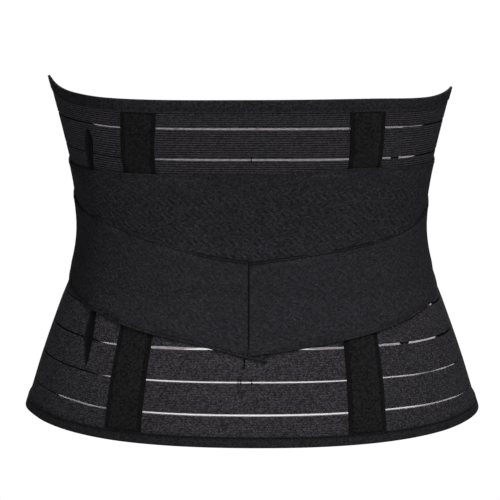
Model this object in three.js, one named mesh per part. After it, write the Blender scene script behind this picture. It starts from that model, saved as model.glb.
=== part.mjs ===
// Postpartum belly wrap in its worn shape: a woven elastic band with see-through slits, bound along
// both edges, with two bone casings and two side stays, a level upper strap and two lower straps that
// cross at the middle of the back. Its two ends meet in front under one plain closure.
// Millimetres, +Z up. The back of the wrap faces -Y, and the origin is on the body's axis at the waist.
import * as THREE from "three";

// Driving dimensions
const BACK_HEIGHT = 245;
const WAIST_HEIGHT = 140;
const STRIPS = 11;
const WAIST_STRIPS = [5, 6, 7];
const SLIT_AT_HIP = 1.9;
const SLIT_AT_TOP = 1.2;
const BASE_THICKNESS = 1.8;
const STRAP_THICKNESS = 1.5;
const STRAP_WIDTH = 64.4;
const UPPER_STRAP_TOP = 192.6;
const UPPER_STRAP_WIDTH = 69;
const CASING_THICKNESS = 1.3;
const CLOSURE_THICKNESS = 1.3;
const BINDING_THICKNESS = 0.9;
const TOP_BINDING_WIDTH = 8.3;
const BOTTOM_BINDING_WIDTH = 6.6;
const GAP = 0.5;

// The front of the band is cut narrower than the back: each edge slopes in by this much per millimetre
// of depth in front of the side line, and the corner at the side is eased over a few millimetres.
const TOP_EDGE_SLOPE = 0.31;
const BOTTOM_EDGE_SLOPE = 0.22;
const EDGE_EASE = 9;

// Places round the wrap are shares of the girth from the middle of the back, to the left (-) or right
// (+): 0.25 is the side and 0.5 the middle of the front.
const COLUMN = 1 / 56;
const BRIDGE = 5.5 * COLUMN;
const BAND_END = 0.497;
const CLOSURE_EDGE = 0.435;
const UPPER_STRAP_END = 0.468;
const LOWER_STRAP_END = 0.452;
const RIGHT_STRAP_SEAM = -0.002;
const LEFT_STRAP_TAIL = 0.0145;
const CASING_HALF_SHARE = 0.0157;
const STAY_HALF_SHARE = 0.0042;
const STAY_FROM = 0.2;
const STAY_TO = 0.905;

// The middle lines of the upright tapes, which stay nearly plumb while the waist draws in beside them.
const CASINGS = {
  bone_casing_left: [
    { height: 6, around: -0.1015 },
    { height: 67, around: -0.1013 },
    { height: 198, around: -0.1033 },
    { height: 236, around: -0.0963 },
  ],
  bone_casing_right: [
    { height: 6, around: 0.0925 },
    { height: 67, around: 0.0962 },
    { height: 198, around: 0.1055 },
    { height: 236, around: 0.101 },
  ],
};
const STAYS = {
  side_stay_left: [
    { height: 45, around: -0.142 },
    { height: 73, around: -0.148 },
    { height: 193, around: -0.156 },
    { height: 221, around: -0.149 },
  ],
  side_stay_right: [
    { height: 45, around: 0.136 },
    { height: 66, around: 0.137 },
    { height: 203, around: 0.134 },
    { height: 221, around: 0.134 },
  ],
};

// The lowest slit's height at the back, and the pitch of the slits above it.
const FIRST_SLIT = 20.9;
const SLIT_PITCH = 22.8;

// How far the slits sag towards the sides.
const SIDE_SAG = [
  { around: -0.5, sag: 0 },
  { around: -0.27, sag: -1 },
  { around: -0.2, sag: -2.8 },
  { around: -0.17, sag: -2.2 },
  { around: -0.15, sag: -1.3 },
  { around: -0.13, sag: -0.1 },
  { around: -0.11, sag: 0.2 },
  { around: -0.08, sag: 0 },
  { around: 0.11, sag: 0 },
  { around: 0.145, sag: 0.9 },
  { around: 0.175, sag: 1.4 },
  { around: 0.22, sag: 2.5 },
  { around: 0.27, sag: 1 },
  { around: 0.5, sag: 0 },
];

// How far the upper edge stands above its cut line: it peaks at the left side, and less at the right one.
const EDGE_RISE = [
  { around: -0.5, rise: 0 },
  { around: -0.29, rise: 0 },
  { around: -0.25, rise: -1 },
  { around: -0.235, rise: 4 },
  { around: -0.222, rise: 9.2 },
  { around: -0.211, rise: 10.6 },
  { around: -0.2, rise: 10.2 },
  { around: -0.18, rise: 6.3 },
  { around: -0.16, rise: 3.8 },
  { around: -0.12, rise: 1.7 },
  { around: 0, rise: 1.8 },
  { around: 0.1, rise: 2.1 },
  { around: 0.16, rise: 0.3 },
  { around: 0.2, rise: 2.2 },
  { around: 0.213, rise: 2.4 },
  { around: 0.226, rise: 0.8 },
  { around: 0.25, rise: -4 },
  { around: 0.29, rise: -3 },
  { around: 0.5, rise: 0 },
];

// How far the lower edge stands above its cut line: the wrap hangs a little lower at the right.
const LOWER_EDGE_RISE = [
  { around: -0.5, rise: 0 },
  { around: -0.27, rise: 0 },
  { around: -0.23, rise: 1.5 },
  { around: -0.205, rise: 2.3 },
  { around: -0.18, rise: 1.4 },
  { around: -0.14, rise: 0.1 },
  { around: -0.1, rise: -0.7 },
  { around: 0, rise: -0.9 },
  { around: 0.1, rise: -1.2 },
  { around: 0.16, rise: -0.8 },
  { around: 0.2, rise: -0.1 },
  { around: 0.23, rise: -0.4 },
  { around: 0.27, rise: -1 },
  { around: 0.5, rise: 0 },
];

// The body inside the band, from its lower edge up: squareness 2 is an ellipse, and more is squarer.
const SECTIONS = [
  { height: 0, halfWidth: 169.1, backDepth: 124, frontDepth: 108, squareness: 2.1 },
  { height: 40, halfWidth: 156.8, backDepth: 115, frontDepth: 106, squareness: 2.35 },
  { height: 80, halfWidth: 142.6, backDepth: 102.2, frontDepth: 101.5, squareness: 2.6 },
  { height: 110, halfWidth: 131, backDepth: 93, frontDepth: 96, squareness: 2.75 },
  { height: 140, halfWidth: 126.4, backDepth: 88.7, frontDepth: 92.5, squareness: 2.85 },
  { height: 175, halfWidth: 129.8, backDepth: 91.6, frontDepth: 92.3, squareness: 2.9 },
  { height: 210, halfWidth: 137, backDepth: 97, frontDepth: 94.5, squareness: 3 },
  { height: 245, halfWidth: 145.4, backDepth: 103, frontDepth: 99, squareness: 3.05 },
];

// How far the upper strap rides up.
const UPPER_STRAP_RISE = [
  { around: -0.5, rise: 0 },
  { around: -0.02, rise: 0 },
  { around: 0.03, rise: 1 },
  { around: 0.06, rise: 2.8 },
  { around: 0.085, rise: 4 },
  { around: 0.11, rise: 4.3 },
  { around: 0.135, rise: 3.4 },
  { around: 0.165, rise: 1.6 },
  { around: 0.2, rise: 0.4 },
  { around: 0.25, rise: 0 },
  { around: 0.5, rise: 0 },
];

// The two edges of each lower strap, from the middle of the back outwards to its end in front.
const LEFT_STRAP = [
  { around: -0.02, low: 56.4, high: 126 },
  { around: 0, low: 59.6, high: 128.2 },
  { around: 0.02, low: 63.6, high: 130 },
  { around: 0.05, low: 69.3, high: 134 },
  { around: 0.1, low: 77.2, high: 144.5 },
  { around: 0.15, low: 87.5, high: 156 },
  { around: 0.2, low: 97.5, high: 163.5 },
  { around: 0.3, low: 106, high: 171 },
  { around: 0.4, low: 110.3, high: 174.9 },
  { around: 0.46, low: 111.3, high: 175.7 },
];
const RIGHT_STRAP = [
  { around: -0.02, low: 59, high: 125.2 },
  { around: 0, low: 61.5, high: 127.4 },
  { around: 0.02, low: 63.4, high: 129.4 },
  { around: 0.05, low: 67, high: 132.8 },
  { around: 0.1, low: 73.8, high: 138.5 },
  { around: 0.15, low: 82.4, high: 146 },
  { around: 0.2, low: 91.3, high: 156 },
  { around: 0.3, low: 101.8, high: 166.5 },
  { around: 0.4, low: 108.8, high: 173.4 },
  { around: 0.46, low: 110.8, high: 175.2 },
];

const COLOURS = {
  band: 0x1d1d1f,
  strap: 0x1b1b1e,
  casing: 0x101113,
  binding: 0x141416,
  closure: 0x161618,
};

// A smooth curve through one column of a table, straight past its ends.
function through(table, key, column, at) {
  const slope = (i, j) => (table[j][column] - table[i][column]) / (table[j][key] - table[i][key]);
  const last = table.length - 1;
  const tangent = (i) => slope(Math.max(i - 1, 0), Math.min(i + 1, last));
  if (at <= table[0][key]) return table[0][column] + slope(0, 1) * (at - table[0][key]);
  if (at >= table[last][key]) return table[last][column] + slope(last - 1, last) * (at - table[last][key]);
  const i = table.findIndex((row) => row[key] > at) - 1;
  const span = table[i + 1][key] - table[i][key];
  const t = (at - table[i][key]) / span;
  const rise = table[i + 1][column] - table[i][column];
  const start = tangent(i) * span;
  const end = tangent(i + 1) * span;
  return table[i][column] + t * (start + t * (3 * rise - 2 * start - end + t * (start + end - 2 * rise)));
}

// The body's outline at a height, with the lengths along its back and front quarter by polar angle.
const QUARTER_STEPS = 90;
const outlines = new Map();
function outlineAt(height) {
  const known = outlines.get(height);
  if (known) return known;
  const section = {};
  for (const column of ["halfWidth", "backDepth", "frontDepth", "squareness"])
    section[column] = through(SECTIONS, "height", column, height);
  section.point = (turn) => {
    const depth = Math.cos(turn) > 0 ? section.backDepth : section.frontDepth;
    const across = Math.abs(Math.sin(turn)) / section.halfWidth;
    const along = Math.abs(Math.cos(turn)) / depth;
    const radius = (across ** section.squareness + along ** section.squareness) ** (-1 / section.squareness);
    return new THREE.Vector2(radius * Math.sin(turn), -radius * Math.cos(turn));
  };
  section.lengths = [0, 1].map((quarter) => {
    const lengths = [0];
    for (let k = 0; k < QUARTER_STEPS; k++) {
      const from = section.point(((quarter + k / QUARTER_STEPS) * Math.PI) / 2);
      const to = section.point(((quarter + (k + 1) / QUARTER_STEPS) * Math.PI) / 2);
      lengths.push(lengths[k] + from.distanceTo(to));
    }
    return lengths;
  });
  outlines.set(height, section);
  return section;
}

// A point of the body at a place round it and a height.
function bodyPoint(around, height) {
  const section = outlineAt(height);
  const folded = around - Math.round(around);
  const quarters = Math.abs(folded) * 4;
  const quarter = quarters < 1 ? 0 : 1;
  const lengths = section.lengths[quarter];
  const wanted = (quarters - quarter) * lengths[QUARTER_STEPS];
  const k = Math.min(Math.max(lengths.findIndex((length) => length >= wanted), 1), QUARTER_STEPS);
  const step = k - 1 + (wanted - lengths[k - 1]) / (lengths[k] - lengths[k - 1]);
  const turn = ((quarter + step / QUARTER_STEPS) * Math.PI) / 2;
  const flat = section.point(folded < 0 ? -turn : turn);
  return new THREE.Vector3(flat.x, flat.y, height);
}

// The same point, moved straight out of the body by an offset.
const NORMAL_STEP = { around: 0.002, height: 1 };
function surfacePoint(around, height, offset) {
  const { around: aside, height: rise } = NORMAL_STEP;
  const along = bodyPoint(around + aside, height).sub(bodyPoint(around - aside, height));
  const up = bodyPoint(around, height + rise).sub(bodyPoint(around, height - rise));
  return bodyPoint(around, height).addScaledVector(along.cross(up).normalize(), offset);
}

const easeInOut = (t) => THREE.MathUtils.smoothstep(t, 0, 1);

// Where the slit above a strip lies, as a share of the band's height.
function slitShare(k) {
  return (FIRST_SLIT + SLIT_PITCH * (k - 1)) / BACK_HEIGHT;
}

// The height at a place round the band and a share of its local height, 0 at the lower edge.
function bandHeight(around, share) {
  const depth = bodyPoint(around, WAIST_HEIGHT).y;
  const inFront = (depth + Math.hypot(depth, EDGE_EASE)) / 2;
  const low = BOTTOM_EDGE_SLOPE * inFront;
  const high = BACK_HEIGHT - TOP_EDGE_SLOPE * inFront;
  const shareOfFirstStrip = Math.min(1, share / slitShare(1));
  const shareOfTopStrip = Math.max(0, 1 - (1 - share) / (1 - slitShare(STRIPS - 1)));
  const turn = around - Math.round(around);
  const topRise = through(EDGE_RISE, "around", "rise", turn) * shareOfTopStrip;
  const lowerRise = through(LOWER_EDGE_RISE, "around", "rise", turn) * (1 - shareOfFirstStrip);
  const sag = through(SIDE_SAG, "around", "sag", turn) * Math.min(shareOfFirstStrip, 1 - shareOfTopStrip);
  return low + (high - low) * share + topRise + lowerRise - sag;
}

// How far casings, stays and the closure push a strap away from the band at a place round it.
const LIFT = CASING_THICKNESS + 1.7 * GAP;
const LIFT_EASE = 2 * COLUMN;
const LIFTED = [
  { from: -0.1545, to: -0.0868 },
  { from: 0.0795, to: 0.1485 },
  { from: -0.5, to: -CLOSURE_EDGE },
  { from: CLOSURE_EDGE, to: 0.5 },
];
function strapLift(around) {
  const distance = Math.min(...LIFTED.map(({ from, to }) => Math.max(from - around, around - to)));
  return LIFT * easeInOut(1 - (distance - COLUMN) / LIFT_EASE);
}

// Grid positions between two places: both ends, and the shared columns that lie between them.
function columnsBetween(from, to) {
  const columns = [from];
  for (let k = Math.ceil(from / COLUMN); k * COLUMN < to; k++)
    if (k * COLUMN > from + COLUMN / 5 && k * COLUMN < to - COLUMN / 5) columns.push(k * COLUMN);
  return [...columns, to];
}

const evenSteps = (count) => Array.from({ length: count + 1 }, (_, k) => k / count);

function solidGeometry(points, triangles) {
  const geometry = new THREE.BufferGeometry().setFromPoints(points);
  geometry.setIndex(triangles);
  geometry.computeVertexNormals();
  return geometry;
}

// A closed wall over a grid of cells. place(column, row) gives the height and the two offsets of a grid
// corner, and its place round the body where that isn't the column itself. open(i, j) is true for a cell
// that is left out, which cuts a gap through the wall.
function wallGeometry(columns, rows, place, open = () => false) {
  const points = [];
  for (const row of rows)
    for (const column of columns) {
      const { height, inner, outer, around = column } = place(column, row);
      points.push(surfacePoint(around, height, inner), surfacePoint(around, height, outer));
    }
  const wide = columns.length;
  const inner = (i, j) => 2 * (j * wide + i);
  const outer = (i, j) => inner(i, j) + 1;
  const triangles = [];
  const quad = (a, b, c, d) => triangles.push(a, b, c, a, c, d);
  const filled = (i, j) => i >= 0 && j >= 0 && i < wide - 1 && j < rows.length - 1 && !open(i, j);
  for (let j = 0; j < rows.length - 1; j++)
    for (let i = 0; i < wide - 1; i++) {
      if (!filled(i, j)) continue;
      quad(outer(i, j), outer(i + 1, j), outer(i + 1, j + 1), outer(i, j + 1));
      quad(inner(i, j + 1), inner(i + 1, j + 1), inner(i + 1, j), inner(i, j));
      if (!filled(i, j - 1)) quad(inner(i, j), inner(i + 1, j), outer(i + 1, j), outer(i, j));
      if (!filled(i, j + 1)) quad(outer(i, j + 1), outer(i + 1, j + 1), inner(i + 1, j + 1), inner(i, j + 1));
      if (!filled(i - 1, j)) quad(outer(i, j), outer(i, j + 1), inner(i, j + 1), inner(i, j));
      if (!filled(i + 1, j)) quad(inner(i + 1, j), inner(i + 1, j + 1), outer(i + 1, j + 1), outer(i + 1, j));
    }
  return solidGeometry(points, triangles);
}

// A closed section, given as flat points (offset, height), swept round the band from end to end.
function sweptGeometry(columns, section, heightOf) {
  const size = section.length;
  const points = columns.flatMap((around) =>
    section.map(({ x, y }) => surfacePoint(around, heightOf(around, y), x)),
  );
  const triangles = [];
  for (let i = 0; i < columns.length - 1; i++)
    for (let k = 0; k < size; k++) {
      const a = i * size + k;
      const b = i * size + ((k + 1) % size);
      triangles.push(a, a + size, b + size, a, b + size, b);
    }
  const last = (columns.length - 1) * size;
  for (const [a, b, c] of THREE.ShapeUtils.triangulateShape(section, [])) {
    triangles.push(a, b, c);
    triangles.push(last + a, last + c, last + b);
  }
  return solidGeometry(points, triangles);
}

// The elastic band: strips one above the other, with slits between them that are bridged only where a
// casing or the closure hides the bridge.
function bandGeometry() {
  const columns = columnsBetween(-BAND_END, BAND_END);
  const rows = [0];
  const slitRows = new Set();
  for (let k = 1; k <= STRIPS; k++) {
    if (WAIST_STRIPS.includes(k)) rows.push((slitShare(k - 1) + slitShare(k)) / 2);
    if (k === STRIPS) break;
    const half = THREE.MathUtils.lerp(SLIT_AT_HIP, SLIT_AT_TOP, k / STRIPS) / BACK_HEIGHT / 2;
    slitRows.add(rows.length);
    rows.push(slitShare(k) - half, slitShare(k) + half);
  }
  rows.push(1);
  const isBridge = (i) => {
    const middle = (columns[i] + columns[i + 1]) / 2;
    const underCasing = Math.abs(Math.abs(middle) - BRIDGE) < COLUMN / 2;
    return underCasing || Math.abs(middle) > CLOSURE_EDGE + COLUMN;
  };
  const place = (around, share) => ({ height: bandHeight(around, share), inner: 0, outer: BASE_THICKNESS });
  return wallGeometry(columns, rows, place, (i, j) => slitRows.has(j) && !isBridge(i));
}

// A folded tape over one edge of the band: an outer leg, a fold past the edge and an inner leg.
function bindingGeometry(isTop) {
  const outside = BASE_THICKNESS + GAP;
  const thick = BINDING_THICKNESS;
  const leg = isTop ? TOP_BINDING_WIDTH : BOTTOM_BINDING_WIDTH;
  const rounding = thick * 0.6;
  const section = [
    [outside + thick, -leg],
    [outside + thick, GAP],
    [outside + thick - rounding, GAP + thick],
    [-GAP - thick + rounding, GAP + thick],
    [-GAP - thick, GAP],
    [-GAP - thick, -leg],
    [-GAP, -leg],
    [-GAP, GAP],
    [outside, GAP],
    [outside, -leg],
  ].map(([offset, past]) => new THREE.Vector2(offset, isTop ? past : -past));
  if (!isTop) section.reverse();
  const heightOf = (around, past) => bandHeight(around, isTop ? 1 : 0) + past;
  return sweptGeometry(columnsBetween(-BAND_END, BAND_END), section, heightOf);
}

// A flat tape sewn upright on the outside of the band along its middle line.
function uprightTapeGeometry(line, halfShare, steps, fromShare, toShare, lowMargin, topMargin) {
  const columns = evenSteps(2).map((t) => (2 * t - 1) * halfShare);
  const place = (aside, t) => {
    const low = bandHeight(line[0].around + aside, fromShare) + lowMargin;
    const high = bandHeight(line[line.length - 1].around + aside, toShare) - topMargin;
    const height = low + (high - low) * t;
    const around = through(line, "height", "around", height) + aside;
    const inner = BASE_THICKNESS + GAP;
    return { height, inner, outer: inner + CASING_THICKNESS, around };
  };
  return wallGeometry(columns, evenSteps(steps), place);
}

// The level strap round the waist, over the casings and the closure. It rides up a little at the right of
// the back, and bends as the strips under it do.
function upperStrapGeometry() {
  const low = UPPER_STRAP_TOP - UPPER_STRAP_WIDTH;
  const stripHeight = BACK_HEIGHT / STRIPS;
  const bends = Array.from({ length: 2 * STRIPS }, (_, k) => slitShare(k / 2) * BACK_HEIGHT)
    .filter((height) => height > low + stripHeight / 4 && height < UPPER_STRAP_TOP - stripHeight / 4);
  const place = (around, level) => {
    const height = level + through(UPPER_STRAP_RISE, "around", "rise", around);
    const inner = BASE_THICKNESS + GAP + strapLift(around);
    return { height, inner, outer: inner + STRAP_THICKNESS };
  };
  const columns = columnsBetween(-UPPER_STRAP_END, UPPER_STRAP_END);
  return wallGeometry(columns, [low, ...bends, UPPER_STRAP_TOP], place);
}

// A lower strap: it climbs from the middle of the back to the sides, lies on the band below the upper
// strap and over the upper strap above, and the right one also covers the tail of the left one.
const LOWER_STRAP_ROWS = 6;
function lowerStrapGeometry(edges, side, from, to) {
  const level = STRAP_THICKNESS + GAP;
  const onTop = UPPER_STRAP_TOP - UPPER_STRAP_WIDTH - STRAP_WIDTH / LOWER_STRAP_ROWS;
  const rampHeight = 14;
  const tailEnd = LEFT_STRAP_TAIL + COLUMN;
  const place = (around, t) => {
    const low = through(edges, "around", "low", side * around);
    const high = through(edges, "around", "high", side * around);
    const height = low + (high - low) * t;
    const overUpper = easeInOut((height - onTop + rampHeight) / rampHeight);
    const overTail = side > 0 ? easeInOut(1 - (around - tailEnd) / LIFT_EASE) : 0;
    const inner = BASE_THICKNESS + GAP + strapLift(around) + level * (overUpper + overTail);
    return { height, inner, outer: inner + STRAP_THICKNESS };
  };
  return wallGeometry(columnsBetween(from, to), evenSteps(LOWER_STRAP_ROWS), place);
}

// The plain front closure, which covers the two ends of the band.
function closureGeometry() {
  const margin = TOP_BINDING_WIDTH + 2.7;
  const place = (around, t) => {
    const low = bandHeight(around, 0) + margin;
    const high = bandHeight(around, 1) - margin;
    const inner = BASE_THICKNESS + GAP;
    return { height: low + (high - low) * t, inner, outer: inner + CLOSURE_THICKNESS };
  };
  return wallGeometry(columnsBetween(CLOSURE_EDGE, 1 - CLOSURE_EDGE), evenSteps(7), place);
}

const wrap = new THREE.Group();
const worn = new THREE.Group();
worn.position.z = -WAIST_HEIGHT;
wrap.add(worn);

function addPiece(name, geometry, colour, roughness) {
  const material = new THREE.MeshStandardMaterial({ color: colour, roughness, metalness: 0 });
  const mesh = new THREE.Mesh(geometry, material);
  mesh.name = name;
  worn.add(mesh);
}

addPiece("elastic_band", bandGeometry(), COLOURS.band, 0.85);
addPiece("top_binding", bindingGeometry(true), COLOURS.binding, 0.8);
addPiece("bottom_binding", bindingGeometry(false), COLOURS.binding, 0.8);
for (const [name, line] of Object.entries(CASINGS)) {
  const margins = [BOTTOM_BINDING_WIDTH + GAP, TOP_BINDING_WIDTH + GAP];
  const geometry = uprightTapeGeometry(line, CASING_HALF_SHARE, STRIPS, 0, 1, ...margins);
  addPiece(name, geometry, COLOURS.casing, 0.95);
}
for (const [name, line] of Object.entries(STAYS)) {
  const geometry = uprightTapeGeometry(line, STAY_HALF_SHARE, STRIPS - 3, STAY_FROM, STAY_TO, 0, 0);
  addPiece(name, geometry, COLOURS.casing, 0.95);
}
addPiece("upper_strap", upperStrapGeometry(), COLOURS.strap, 0.8);
const leftStrap = lowerStrapGeometry(LEFT_STRAP, -1, -LOWER_STRAP_END, LEFT_STRAP_TAIL);
addPiece("lower_strap_left", leftStrap, COLOURS.strap, 0.8);
const rightStrap = lowerStrapGeometry(RIGHT_STRAP, 1, RIGHT_STRAP_SEAM, LOWER_STRAP_END);
addPiece("lower_strap_right", rightStrap, COLOURS.strap, 0.8);
addPiece("front_closure", closureGeometry(), COLOURS.closure, 0.9);

export default wrap;
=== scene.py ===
"""The looks of a postpartum belly wrap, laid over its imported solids.

Every cloth piece is laid on one body. A place on it is a share of the girth from the middle of the back
(left is negative, 0.25 is the side, 0.5 the middle of the front), a height above the lower edge and an
offset straight out of the body. Heights and offsets are in millimetres until they become mesh points.
"""
import math

import bpy
import numpy as np
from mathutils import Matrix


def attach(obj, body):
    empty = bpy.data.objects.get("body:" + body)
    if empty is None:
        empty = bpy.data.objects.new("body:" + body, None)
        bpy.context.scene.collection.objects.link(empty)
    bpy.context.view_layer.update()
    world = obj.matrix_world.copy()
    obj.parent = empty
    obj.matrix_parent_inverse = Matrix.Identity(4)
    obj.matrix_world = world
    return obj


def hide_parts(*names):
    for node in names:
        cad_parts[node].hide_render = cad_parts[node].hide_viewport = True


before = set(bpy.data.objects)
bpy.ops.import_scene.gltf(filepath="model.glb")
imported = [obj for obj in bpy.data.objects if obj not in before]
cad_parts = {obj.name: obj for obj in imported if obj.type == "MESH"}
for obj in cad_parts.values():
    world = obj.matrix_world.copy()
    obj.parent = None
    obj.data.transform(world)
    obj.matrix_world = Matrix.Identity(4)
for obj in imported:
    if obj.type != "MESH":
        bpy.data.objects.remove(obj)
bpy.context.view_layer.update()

MM = 0.001
BODY = "root"

# Sizes that the solids share
BACK_HEIGHT = 245.0
WAIST_HEIGHT = 140.0
STRIPS = 11
STRAP_WIDTH = 64.4
UPPER_STRAP_TOP = 192.6
UPPER_STRAP_WIDTH = 69.0
TOP_BINDING_WIDTH = 8.3
BOTTOM_BINDING_WIDTH = 6.6
COLUMN = 1 / 56
TOP_EDGE_SLOPE = 0.31
BOTTOM_EDGE_SLOPE = 0.22
EDGE_EASE = 9.0

# Thicknesses of the cloth, whose layers lie closer together than the solids do
BASE_THICKNESS = 2.1
STRAP_THICKNESS = 1.2
CASING_THICKNESS = 1.1
HIDDEN_STAY_THICKNESS = 0.3
CLOSURE_THICKNESS = 1.2
TOP_BINDING_THICKNESS = 0.5
BOTTOM_BINDING_THICKNESS = 0.95
THINNED_TOP_EDGE = 1.4
GAP = 0.15
ON_BAND = BASE_THICKNESS + GAP

# Places round the wrap that the solids share
BAND_END = 0.497
CLOSURE_EDGE = 0.435
UPPER_STRAP_END = 0.468
LOWER_STRAP_END = 0.452
RIGHT_STRAP_SEAM = -0.002
LEFT_STRAP_TAIL = 0.0145
CASING_HALF_SHARE = 0.0157
CASING_MARGINS = (BOTTOM_BINDING_WIDTH + 0.5, TOP_BINDING_WIDTH + 0.5)
STAY_HALF_SHARE = 0.0042
STAY_FROM = 0.2
STAY_TO = 0.905

# The middle lines of the upright tapes: height, place round the wrap
CASINGS = {
    "bone_casing_left": np.array([(6, -0.1015), (67, -0.1013), (198, -0.1033), (236, -0.0963)]),
    "bone_casing_right": np.array([(6, 0.0925), (67, 0.0962), (198, 0.1055), (236, 0.101)]),
}
STAYS = {
    "side_stay_left": np.array([(45, -0.142), (73, -0.148), (193, -0.156), (221, -0.149)]),
    "side_stay_right": np.array([(45, 0.136), (66, 0.137), (203, 0.134), (221, 0.134)]),
}

# Slits of the band: the lowest one's height at the back, and the pitch of the ones above it
FIRST_SLIT = 20.9
SLIT_PITCH = 22.8

# How far the slits sag towards the sides: place round the wrap, sag
SIDE_SAG = np.array([
    (-0.5, 0), (-0.27, -1), (-0.2, -2.8), (-0.17, -2.2), (-0.15, -1.3), (-0.13, -0.1), (-0.11, 0.2),
    (-0.08, 0), (0.11, 0), (0.145, 0.9), (0.175, 1.4), (0.22, 2.5), (0.27, 1), (0.5, 0),
])

# How far each slit stands open, counted from the hip: place round the wrap, opening
CLEAR_OPENING = 0.25
SLIT_OPENINGS = {
    1: np.array([
        (-0.188, 0), (-0.175, 0.12), (-0.16, 0.3), (-0.135, 0.45), (-0.119, 0.25), (-0.085, 0.7),
        (-0.06, 0.95), (0, 1.05), (0.06, 1), (0.09, 0.8), (0.11, 0.75), (0.13, 0.85), (0.152, 0.4),
        (0.172, 0.25), (0.19, 0.19), (0.2, 0.16), (0.21, 0.14), (0.216, 0.08), (0.2215, 0), (0.223, 0.13),
        (0.226, 0),
    ]),
    2: np.array([
        (-0.134, 0), (-0.129, 0.1), (-0.12, 0.2), (-0.09, 0.6), (-0.07, 0.68), (0.05, 0.66), (0.07, 0.46),
        (0.11, 0.35), (0.13, 0.35), (0.14, 0.28), (0.148, 0.19), (0.16, 0.17), (0.167, 0.2), (0.178, 0.24),
        (0.186, 0.17), (0.195, 0.2), (0.2, 0.18), (0.202, 0.05), (0.208, 0.05), (0.21, 0.15), (0.222, 0.13),
        (0.224, 0),
    ]),
    3: np.array([
        (-0.137, 0), (-0.128, 0.25), (-0.09, 0.9), (-0.07, 1.2), (0.05, 1.1), (0.075, 0.7), (0.12, 0.7),
        (0.145, 0.78), (0.152, 0.6), (0.158, 0.4), (0.165, 0.34), (0.172, 0.38), (0.178, 0.16), (0.181, 0),
    ]),
    4: np.array([(0.183, 0), (0.1855, 0.2), (0.1885, 0.24), (0.1905, 0)]),
    9: np.array([
        (-0.1, 0), (-0.08, 0.3), (-0.065, 0.65), (0, 0.6), (0.02, 0.8), (0.08, 0.8), (0.12, 0.35),
        (0.138, 0.6), (0.15, 0.4), (0.162, 0),
    ]),
    10: np.array([
        (-0.143, 0), (-0.139, 0.25), (-0.12, 0.2), (-0.08, 0.45), (-0.05, 0.6), (0, 0.85), (0.05, 0.8),
        (0.08, 0.7), (0.11, 0.4), (0.13, 0.4), (0.137, 0.18), (0.15, 0.16), (0.158, 0.15), (0.163, 0),
    ]),
}
HIDDEN_SLIT = np.array([(-0.15, 0), (-0.1, 0.8), (0.1, 0.8), (0.15, 0)])

# The body: height, half width, back depth, front depth, squareness of the outline
SECTIONS = np.array([
    (0, 169.1, 124, 108, 2.1), (40, 156.8, 115, 106, 2.35), (80, 142.6, 102.2, 101.5, 2.6),
    (110, 131, 93, 96, 2.75), (140, 126.4, 88.7, 92.5, 2.85), (175, 129.8, 91.6, 92.3, 2.9),
    (210, 137, 97, 94.5, 3), (245, 145.4, 103, 99, 3.05),
])

# The upper edge: place round the wrap, rise above its cut line
EDGE_RISE = np.array([
    (-0.5, 0), (-0.29, 0), (-0.25, -1), (-0.235, 4), (-0.222, 9.2), (-0.211, 10.6), (-0.2, 10.2),
    (-0.18, 6.3), (-0.16, 3.8), (-0.12, 1.7), (0, 1.8), (0.1, 2.1), (0.16, 0.3), (0.2, 2.2), (0.213, 2.4),
    (0.226, 0.8), (0.25, -4), (0.29, -3), (0.5, 0),
])

# The lower edge, in the same way
LOWER_EDGE_RISE = np.array([
    (-0.5, 0), (-0.27, 0), (-0.23, 1.5), (-0.205, 2.3), (-0.18, 1.4), (-0.14, 0.1), (-0.1, -0.7),
    (0, -0.9), (0.1, -1.2), (0.16, -0.8), (0.2, -0.1), (0.23, -0.4), (0.27, -1), (0.5, 0),
])

# How far the upper strap rides up: place round the wrap, rise
UPPER_STRAP_RISE = np.array([
    (-0.5, 0), (-0.02, 0), (0.03, 1), (0.06, 2.8), (0.085, 4), (0.11, 4.3), (0.135, 3.4), (0.165, 1.6),
    (0.2, 0.4), (0.25, 0), (0.5, 0),
])

# The edges of the lower straps: place outwards from the middle of the back, lower edge, upper edge
LEFT_STRAP = np.array([
    (-0.02, 56.4, 126), (0, 59.6, 128.2), (0.02, 63.6, 130), (0.05, 69.3, 134), (0.1, 77.2, 144.5),
    (0.15, 87.5, 156), (0.2, 97.5, 163.5), (0.3, 106, 171), (0.4, 110.3, 174.9), (0.46, 111.3, 175.7),
])
RIGHT_STRAP = np.array([
    (-0.02, 59, 125.2), (0, 61.5, 127.4), (0.02, 63.4, 129.4), (0.05, 67, 132.8), (0.1, 73.8, 138.5),
    (0.15, 82.4, 146), (0.2, 91.3, 156), (0.3, 101.8, 166.5), (0.4, 108.8, 173.4), (0.46, 110.8, 175.2),
])

# Cross sections of cloth edges: distance from the edge, share of the full thickness
STRAP_SELVEDGE = np.array([(0, 0.6), (0.3, 0.88), (1.3, 0.96), (2.1, 0.9), (2.8, 0.98), (3.6, 1)])
CASING_FOLD = np.array([
    (0, 0.25), (0.5, 0.62), (1.2, 0.7), (2.1, 0.62), (2.7, 0.45), (3.4, 0.85), (5, 1), (12, 1.2),
])
STAY_FOLD = np.array([(0, 0.2), (0.6, 0.6), (1.4, 0.72), (2, 0.95), (4.3, 1.1)])
STAY_TAPER = np.array([
    (0, 0.1), (0.05, 0.7), (0.09, 1.1), (0.13, 1.2), (0.18, 1), (0.23, 0.7), (0.8, 0.6), (0.86, 0.95),
    (0.92, 1.3), (0.95, 1.2), (0.98, 0.7), (1, 0.1),
])
PANEL_FOLD = np.array([(0, 0.35), (0.5, 0.85), (1.2, 1), (2.4, 0.8), (3.2, 1)])


# Body and layers

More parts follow.
